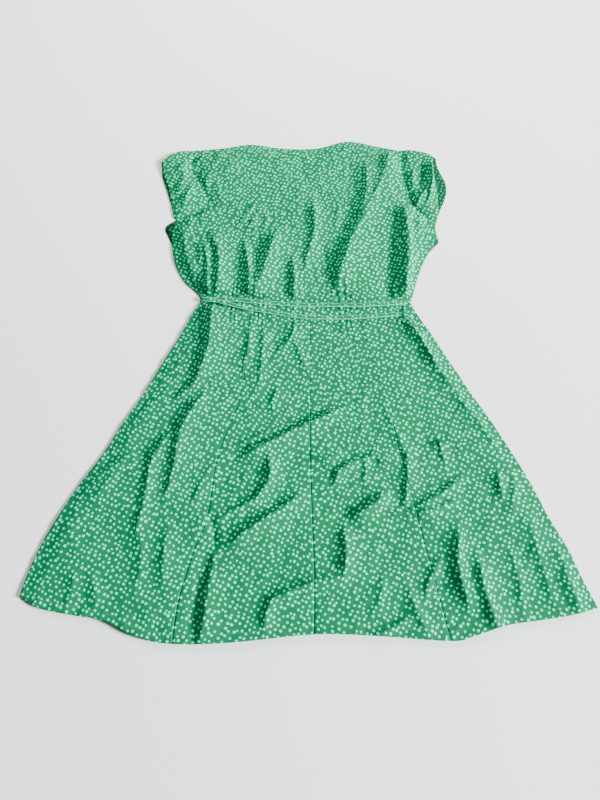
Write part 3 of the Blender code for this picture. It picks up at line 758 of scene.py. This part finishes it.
def seam_dip(surface, *curves):
    """The same surface, drawn down slightly where panels are sewn together."""
    lines = [curve(np.linspace(0, 1, 200)) for curve in curves]

    def dipped(x, y):
        height = surface(x, y)
        for line in lines:
            order = np.argsort(line[:, 1])
            away = x - np.interp(y, line[order, 1], line[order, 0])
            away = np.abs(away / np.where(away < 0.0, SEAM_WIDTH_WEST, SEAM_WIDTH_EAST))
            pucker = 0.55 + 0.5 * ripple(x, y, 0.012, 6.0) + 0.9 * ripple(x, y, 0.070, 11.0)
            dip = np.maximum(pucker, 0.1) * np.exp(-away ** SEAM_SHARPNESS)
            height = height - SEAM_DEPTH * dip
        return np.maximum(height, back_rest(x, y) * 0.9)

    return dipped


def make_bodice():
    waist_y = WAIST_Y + HALF_SEAM
    rows = SIDE_ROWS + ARMHOLE_ROWS
    side_share = SIDE_ROWS / rows
    left = joined(side_from(LEFT_BODICE_SIDE, waist_y), smooth_curve(LEFT_ARMHOLE), side_share)
    right = joined(side_from(RIGHT_BODICE_SIDE, waist_y), smooth_curve(RIGHT_ARMHOLE), side_share)
    plan = patch(
        straight((LEFT_BODICE_SIDE[0][0], waist_y), (RIGHT_BODICE_SIDE[0][0], waist_y)),
        smooth_curve(NECK_AND_SHOULDERS), left, right, BODICE_COLUMNS, rows)
    neck_x = np.linspace(NECK_AND_SHOULDERS[0][0] + 0.050, NECK_AND_SHOULDERS[-1][0] - 0.050, 700)
    neck_y = smooth_curve(NECK_AND_SHOULDERS)(np.linspace(0, 1, 700))
    neck_y = np.interp(neck_x, neck_y[:, 0], neck_y[:, 1]) - NECK_STITCH_IN
    run = np.stack([neck_x, neck_y, back_surface(neck_x, neck_y) + CLOTH], -1)
    sew("neckline_stitching", [run], "dress_cloth", "bodice_back")
    panel("back_bodice", "bodice_back", plan, back_surface, [dress_cloth, wrong_side_painted_shade])

    left = joined(side_from(LEFT_UNDER_SIDE, waist_y), smooth_curve(LEFT_ARMHOLE), side_share)
    inner_top = (UNDER_EDGE_X[2], WRAP_Y[2] - 0.006)
    plan = patch(
        straight((LEFT_BODICE_SIDE[0][0], waist_y), (UNDER_EDGE_X[1], waist_y)),
        straight(LEFT_ARMHOLE[-1], inner_top), left,
        straight((UNDER_EDGE_X[1], waist_y), inner_top), *FRONT_BODICE_GRID)
    panel("under_wrap_bodice", "bodice_front_under", plan, lambda x, y: LAYER * over_front_lift(x, y),
          [wrong_side_painted_shade, dress_cloth])

    right = joined(side_from(RIGHT_OVER_SIDE, waist_y), smooth_curve(RIGHT_ARMHOLE), side_share)
    inner_top = (OVER_EDGE_X[2], WRAP_Y[2] - 0.001)
    plan = patch(
        straight((OVER_EDGE_X[1], waist_y), (RIGHT_BODICE_SIDE[0][0], waist_y)),
        straight(inner_top, RIGHT_ARMHOLE[-1]),
        straight((OVER_EDGE_X[1], waist_y), inner_top), right, *FRONT_BODICE_GRID)
    panel("over_wrap_bodice", "bodice_front_over", plan, lambda x, y: 0.0 * x,
          [wrong_side_painted_shade, dress_cloth])


def make_skirt():
    waist_y = WAIST_Y - HALF_SEAM
    hem = smooth_curve(HEM)
    lines = [LEFT_SKIRT_SIDE, LEFT_SEAM, CENTRE_SEAM, RIGHT_SEAM, RIGHT_SKIRT_SIDE]
    seams = [smooth_curve(line) for line in lines[1:-1]]
    surface = seam_dip(back_surface, *seams)
    names = ["outer_left", "inner_left", "inner_right", "outer_right"]
    hem_x = np.linspace(HEM[0][0] + 0.006, HEM[-1][0] - 0.006, 900)
    hem_y = np.interp(hem_x, *zip(*HEM)) + HEM_DEPTH
    hem_x, hem_y = (values[side_distance(hem_x, hem_y) > 0.004] for values in (hem_x, hem_y))
    run = np.stack([hem_x, hem_y, surface(hem_x, hem_y) + CLOTH], -1)
    sew("hem_stitching", [run], "dress_cloth", *("skirt_back_" + name for name in names))
    for name, west, east in zip(names, lines, lines[1:]):
        half_w = 0.0 if west is LEFT_SKIRT_SIDE else HALF_SEAM
        half_e = 0.0 if east is RIGHT_SKIRT_SIDE else HALF_SEAM
        plan = patch(
            stretch_of(hem, west[-1][0] + half_w, east[-1][0] - half_e),
            straight((west[0][0] + half_w, waist_y), (east[0][0] - half_e, waist_y)),
            shifted(backwards(side_from(west, waist_y)), half_w),
            shifted(backwards(side_from(east, waist_y)), -half_e),
            OUTER_COLUMNS if "outer" in name else INNER_COLUMNS, SKIRT_ROWS)
        panel("back_skirt_" + name, "skirt_back_" + name, plan, surface,
              [dress_cloth, wrong_side_painted_shade])

    front_hem = shifted(hem, 0.0, 0.003)
    foot = lambda x: tuple(stretch_of(front_hem, x, x)(np.array([0.0]))[0])
    plan = patch(
        stretch_of(front_hem, OVER_EDGE_X[0], RIGHT_SKIRT_SIDE[-1][0] - 0.002),
        straight((OVER_EDGE_X[1], waist_y), (RIGHT_SKIRT_SIDE[0][0], waist_y)),
        straight(foot(OVER_EDGE_X[0]), (OVER_EDGE_X[1], waist_y)),
        shifted(backwards(side_from(RIGHT_SKIRT_SIDE, waist_y)), -0.001), *FRONT_SKIRT_GRID)
    panel("over_wrap_skirt", "skirt_front_over", plan, lambda x, y: 0.0 * x,
          [wrong_side_painted_shade, dress_cloth])
    plan = patch(
        stretch_of(front_hem, LEFT_SKIRT_SIDE[-1][0] + 0.002, UNDER_EDGE_X[0]),
        straight((LEFT_SKIRT_SIDE[0][0], waist_y), (UNDER_EDGE_X[1], waist_y)),
        shifted(backwards(side_from(LEFT_SKIRT_SIDE, waist_y)), 0.001),
        straight(foot(UNDER_EDGE_X[0]), (UNDER_EDGE_X[1], waist_y)), *FRONT_SKIRT_GRID)
    panel("under_wrap_skirt", "skirt_front_under", plan, lambda x, y: LAYER * over_front_lift(x, y),
          [wrong_side_painted_shade, dress_cloth])


def make_sleeve(name, node, armhole, hem, top, opening_side, front_reach):
    """One piece folded over the shoulder line: back layer, fold and front layer."""
    flat, columns = ARMHOLE_ROWS, SLEEVE_COLUMNS
    seam_line, hem_line, top_line = smooth_curve(armhole), smooth_curve(hem), smooth_curve(top)
    out = np.linspace(0, 1, columns + 1)
    radius = MIN_FOLD_RADIUS + SLEEVE_FOLD_RADIUS * ease(out / 0.6)

    def layer(reach):
        shift = np.array([reach * opening_side, 0.0])
        top_shift = shift * REACH_AT_FOLD
        fold = top_line(1.0 - out) + top_shift * out[:, None] - np.stack([0 * radius, radius], -1)
        under = straight(seam_line(0.0), hem_line(0.0))
        inner = lambda v: seam_line(v) - np.array([0, radius[0]]) * np.asarray(v)[..., None]

        def outer(v):
            v = np.asarray(v, float)[..., None]
            swell = ease(v / 0.55) * (1.0 - (1.0 - REACH_AT_FOLD) * ease((v - 0.60) / 0.40))
            return hem_line(v[..., 0]) + shift * swell - np.array([0, radius[-1]]) * v

        return patch(under, lambda u: fold, inner, outer, columns, flat)

    back, front = layer(0.0), layer(front_reach)
    up = np.linspace(0, 1, flat + 1)[:, None]
    lift = WALL + 2 * MIN_FOLD_RADIUS + 2 * (radius - MIN_FOLD_RADIUS) * ease(2 * up - 1)
    rim = ease(up / 0.12) * (0.3 + 0.7 * ease((1 - up) / 0.25))
    seam_hold = ease(out / 0.25)
    x, y = back[..., 0], back[..., 1]
    creased = SLEEVE_CREASE_DEPTH * crease_height(x, y) * rim * (0.35 + 0.65 * seam_hold)
    swell = (SLEEVE_PUFF * np.sin(math.pi * np.clip(out, 0, 1)) ** 0.7 * rim + creased
             + SLEEVE_WAVE * ripple(x, y, SLEEVE_WAVE_SIZE, 7.0) * rim)
    back_z = lift + np.maximum(swell, 0.0)
    angles = math.pi * np.linspace(0, 1, TURN_ROWS + 1)[1:-1]
    turning = []
    for angle in angles:
        share = angle / math.pi
        edge = (1 - share) * back[-1] + share * front[-1]
        height = WALL + radius * (1 + math.cos(angle))
        turning.append(np.stack([edge[:, 0], edge[:, 1] + radius * math.sin(angle), height], -1))
    points = np.concatenate([
        np.dstack([back, back_z]), np.array(turning),
        np.dstack([front, np.full(front.shape[:2], WALL)])[::-1]])
    if opening_side < 0:
        points = points[:, ::-1]
    piece = cloth_grid(name, points, [dress_cloth, wrong_side_painted_shade])
    column = SLEEVE_STITCH_COLUMN if opening_side < 0 else columns - SLEEVE_STITCH_COLUMN
    run = points[3:flat - 2, column] + np.array([0.0, 0.0, CLOTH])
    sew(name + "_stitching", [run], "dress_cloth", node)
    width = float(np.ptp(points[..., 0])) + 0.01
    area = flat_area(back) + flat_area(front)
    declare(piece, node, area, width, max(SLEEVE_LENGTH, 1.1 * area / width))


def make_tie(name, node, route, extra):
    """A narrow folded strip that lies on the waist, its edges turned in and stitched."""
    line = smooth_curve(route)
    along = np.linspace(0, 1, 261)
    centre = line(along)
    ahead = np.gradient(centre, axis=0)
    ahead /= np.linalg.norm(ahead, axis=1)[:, None]
    normal = np.stack([-ahead[:, 1], ahead[:, 0]], -1)
    wobble = 1.0 + 0.08 * np.sin(along * 47.0) * np.sin(along * 19.0 + 1.0)
    across = np.array([-0.5, -0.40, -0.30, -0.15, 0.0, 0.15, 0.30, 0.40, 0.5])
    rows = []
    for share in across:
        plan = centre + normal * (TIE_WIDTH * wobble * share)[:, None]
        x, y = plan[:, 0], plan[:, 1]
        rolled = TIE_ROUNDING * math.cos(math.pi * share) ** 0.5 if abs(share) < 0.5 else 0.0
        ridge = TIE_RIDGE * math.exp(-((abs(share) - 0.42) / 0.07) ** 2)
        lie = back_rest(x, y) + CLOTH + TIE_LIFT + extra(x)
        lie = lie + TIE_WAVE * ripple(x, y * 0.0 + share * 0.004, TIE_WAVE_SIZE, 8.0)
        past = np.maximum(0.0, TIE_END_X - x)
        x = np.where(past > 0, TIE_END_X - past * 0.2, x)
        rows.append(np.stack([x, y, np.maximum(0.0004, lie + rolled + ridge - past * 1.2)], -1))
    points = np.array(rows)
    # The outer strip of faces on each side of the tie takes the painted edge highlight.
    piece = cloth_grid(name, points, [tie_cloth, tie_edge_highlight], TIE_THICK, highlight_strips=1)
    on_top = np.array([0.0, 0.0, TIE_THICK])
    sew(name + "_stitching", [points[1] + on_top, points[-2] + on_top], "tie_cloth", node)
    length = float(np.linalg.norm(np.diff(centre, axis=0), axis=1).sum())
    declare(piece, node, TIE_WIDTH * length, NARROWEST_FLAT, length)


def make_loop():
    """Belt loop of a folded strip that holds the lower tie at the right side."""
    centre = smooth_curve(LOOP_LINE)(np.linspace(0, 1, 41))
    over = 1.0 - ease((np.abs(centre[:, 1] - 0.0690) - 0.0085) / 0.0050)
    columns = []
    for share in np.linspace(-0.5, 0.5, 5):
        x = centre[:, 0] + LOOP_WIDTH * share
        y = centre[:, 1]
        z = back_rest(x, y) + CLOTH + 0.0010 + LOOP_RISE * over + 0.0003 * math.cos(math.pi * share)
        columns.append(np.stack([x, y, z], -1))
    points = np.array(columns).transpose(1, 0, 2)
    piece = cloth_grid("right_belt_loop", points, [tie_cloth], LOOP_THICK)
    declare(piece, "tie_loop_right", 0.0045 * LOOP_LENGTH, LOOP_FLAT, LOOP_LENGTH)


make_bodice()
make_skirt()
make_sleeve("left_sleeve", "sleeve_left", LEFT_ARMHOLE, LEFT_SLEEVE_HEM, LEFT_SLEEVE_TOP, -1, 0.005)
make_sleeve("right_sleeve", "sleeve_right", RIGHT_ARMHOLE, RIGHT_SLEEVE_HEM, RIGHT_SLEEVE_TOP, 1, 0.021)
make_tie("upper_waist_tie", "waist_tie_upper", UPPER_TIE, lambda x: 0.0 * x)
make_tie("lower_waist_tie", "waist_tie_lower", LOWER_TIE,
         lambda x: 0.0018 * ease((CLIMB_START_X - x) / (CLIMB_START_X - CLIMB_END_X)))
make_loop()


# ------------------------------------------------------------------- stage

def make_floor():
    builder = bmesh.new()
    bmesh.ops.create_grid(builder, x_segments=1, y_segments=1, size=6.0)
    mesh = bpy.data.meshes.new("pale_floor")
    builder.to_mesh(mesh)
    builder.free()
    floor = add_piece("pale_floor", mesh)
    floor.location.z = -0.0004
    material, _, _, shader = new_material("pale_floor")
    shader.inputs["Base Color"].default_value = (0.90, 0.90, 0.90, 1.0)
    shader.inputs["Roughness"].default_value = 0.9
    mesh.materials.append(material)


def add_light(name, place, target, size, power, tint):
    light = bpy.data.lights.new(name, "AREA")
    light.shape = "SQUARE"
    light.size = size
    light.energy = power
    light.color = tint
    lamp = bpy.data.objects.new(name, light)
    lamp.location = place
    lamp.rotation_euler = (Vector(target) - Vector(place)).to_track_quat("-Z", "Y").to_euler()
    bpy.context.scene.collection.objects.link(lamp)


make_floor()
add_light("window_side", (6.45, -1.5, 2.70), (0, 0, 0), 1.6, 2880.0, (0.93, 1.0, 1.0))
add_light("soft_far_end", (-0.1, 1.5, 1.3), (0, 0.3, 0), 1.2, 46.0, (1.0, 0.99, 0.94))
world = bpy.data.worlds.new("studio")
bpy.context.scene.world = world
world.use_nodes = True
world.node_tree.nodes["Background"].inputs["Color"].default_value = (1.0, 0.87, 0.64, 1.0)
world.node_tree.nodes["Background"].inputs["Strength"].default_value = 0.17

lens = bpy.data.cameras.new("camera")
lens.lens = 27.0
lens.sensor_width = 36.0
camera = bpy.data.objects.new("camera", lens)
camera.location = (-0.01175, -0.47698, 0.95)
camera.rotation_euler = (math.radians(22.0), 0.0, 0.0)
bpy.context.scene.collection.objects.link(camera)
bpy.context.scene.camera = camera
